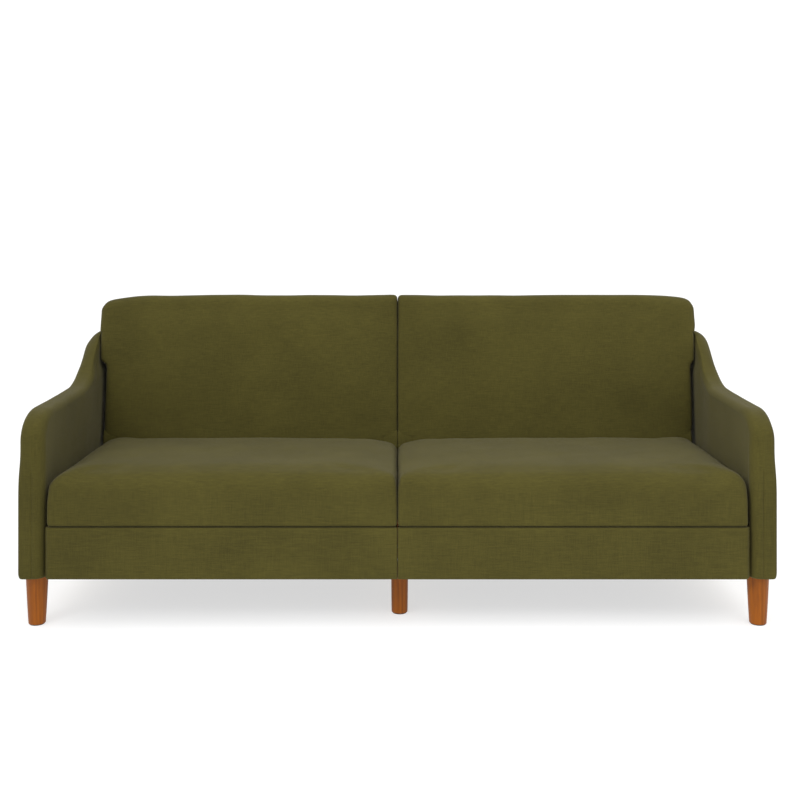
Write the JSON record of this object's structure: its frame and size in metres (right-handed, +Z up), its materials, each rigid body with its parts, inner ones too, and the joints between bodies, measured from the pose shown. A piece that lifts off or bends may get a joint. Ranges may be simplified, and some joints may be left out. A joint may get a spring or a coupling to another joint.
{
  "type": "sofa bed",
  "caption": "Upholstered click-clack sofa bed with swooping arms, split seat and split reclining back that folds flat, on tapered round wooden legs.",
  "frame": {"origin": "on the floor, under the middle of the footprint", "axes": "+X to the right for someone who stands in front and looks at the sofa, +Y towards its back, +Z up"},
  "size_m": [2.076, 0.86, 0.8817],
  "materials": {
    "upholstery": "matt olive-green woven linen-look upholstery fabric over foam",
    "leg_wood": "honey-stained hardwood with a satin lacquer and a fine straight grain",
    "frame_wood": "plain planed softwood, untreated",
    "black_steel": "black powder-coated pressed steel",
    "zinc_hardware": "bright zinc-plated steel",
    "glide_plastic": "black moulded plastic",
    "dust_cover": "thin black non-woven lining, stapled"
  },
  "bodies": {
    "base": {"centre_front_leg": "leg_wood", "centre_front_leg_glide": "glide_plastic", "centre_rear_leg": "leg_wood", "centre_rear_leg_glide": "glide_plastic", "joining_bolt_front": "zinc_hardware", "joining_bolt_rear": "zinc_hardware", "left_arm_bolt_front": "zinc_hardware", "left_arm_bolt_rear": "zinc_hardware", "left_arm_cover": "upholstery", "left_arm_frame": "frame_wood", "left_centre_rail": "frame_wood", "left_dust_cover": "dust_cover", "left_front_leg": "leg_wood", "left_front_leg_glide": "glide_plastic", "left_front_rail": "upholstery", "left_inner_pivot_bolt": "zinc_hardware", "left_inner_seat_bracket": "black_steel", "left_middle_rail": "frame_wood", "left_outer_pivot_bolt": "zinc_hardware", "left_outer_seat_bracket": "black_steel", "left_rear_leg": "leg_wood", "left_rear_leg_glide": "glide_plastic", "left_rear_rail": "upholstery", "left_seat_cushion": "upholstery", "left_seat_deck": "frame_wood", "left_side_rail": "frame_wood", "right_arm_bolt_front": "zinc_hardware", "right_arm_bolt_rear": "zinc_hardware", "right_arm_cover": "upholstery", "right_arm_frame": "frame_wood", "right_centre_rail": "frame_wood", "right_dust_cover": "dust_cover", "right_front_leg": "leg_wood", "right_front_leg_glide": "glide_plastic", "right_front_rail": "upholstery", "right_inner_pivot_bolt": "zinc_hardware", "right_inner_seat_bracket": "black_steel", "right_middle_rail": "frame_wood", "right_outer_pivot_bolt": "zinc_hardware", "right_outer_seat_bracket": "black_steel", "right_rear_leg": "leg_wood", "right_rear_leg_glide": "glide_plastic", "right_rear_rail": "upholstery", "right_seat_cushion": "upholstery", "right_seat_deck": "frame_wood", "right_side_rail": "frame_wood"},
    "left_back": {"left_back_cushion": "upholstery", "left_back_frame": "frame_wood", "left_back_panel": "upholstery", "left_outer_back_bracket": "black_steel", "left_inner_back_bracket": "black_steel"},
    "left_outer_catch": {"left_outer_pawl": "zinc_hardware"},
    "left_inner_catch": {"left_inner_pawl": "zinc_hardware"},
    "right_back": {"right_back_cushion": "upholstery", "right_back_frame": "frame_wood", "right_back_panel": "upholstery", "right_outer_back_bracket": "black_steel", "right_inner_back_bracket": "black_steel"},
    "right_outer_catch": {"right_outer_pawl": "zinc_hardware"},
    "right_inner_catch": {"right_inner_pawl": "zinc_hardware"}
  },
  "joints": [
    {"name": "left_back_recline", "type": "hinge", "parent": "base", "child": "left_back", "pos_m": [-0.48275, 0.21, 0.38], "axis": [-1, 0, 0], "range_deg": [-12, 83]},
    {"name": "left_outer_catch_pivot", "type": "hinge", "parent": "base", "child": "left_outer_catch", "pos_m": [-0.9338, 0.179, 0.307], "axis": [1, 0, 0], "range_deg": [0, 10], "stiffness_Nm_per_rad": 0.5},
    {"name": "left_inner_catch_pivot", "type": "hinge", "parent": "base", "child": "left_inner_catch", "pos_m": [-0.0317, 0.179, 0.307], "axis": [1, 0, 0], "range_deg": [0, 10], "stiffness_Nm_per_rad": 0.5},
    {"name": "right_back_recline", "type": "hinge", "parent": "base", "child": "right_back", "pos_m": [0.48275, 0.21, 0.38], "axis": [-1, 0, 0], "range_deg": [-12, 83]},
    {"name": "right_outer_catch_pivot", "type": "hinge", "parent": "base", "child": "right_outer_catch", "pos_m": [0.9338, 0.179, 0.307], "axis": [1, 0, 0], "range_deg": [0, 10], "stiffness_Nm_per_rad": 0.5},
    {"name": "right_inner_catch_pivot", "type": "hinge", "parent": "base", "child": "right_inner_catch", "pos_m": [0.0317, 0.179, 0.307], "axis": [1, 0, 0], "range_deg": [0, 10], "stiffness_Nm_per_rad": 0.5}
  ]
}
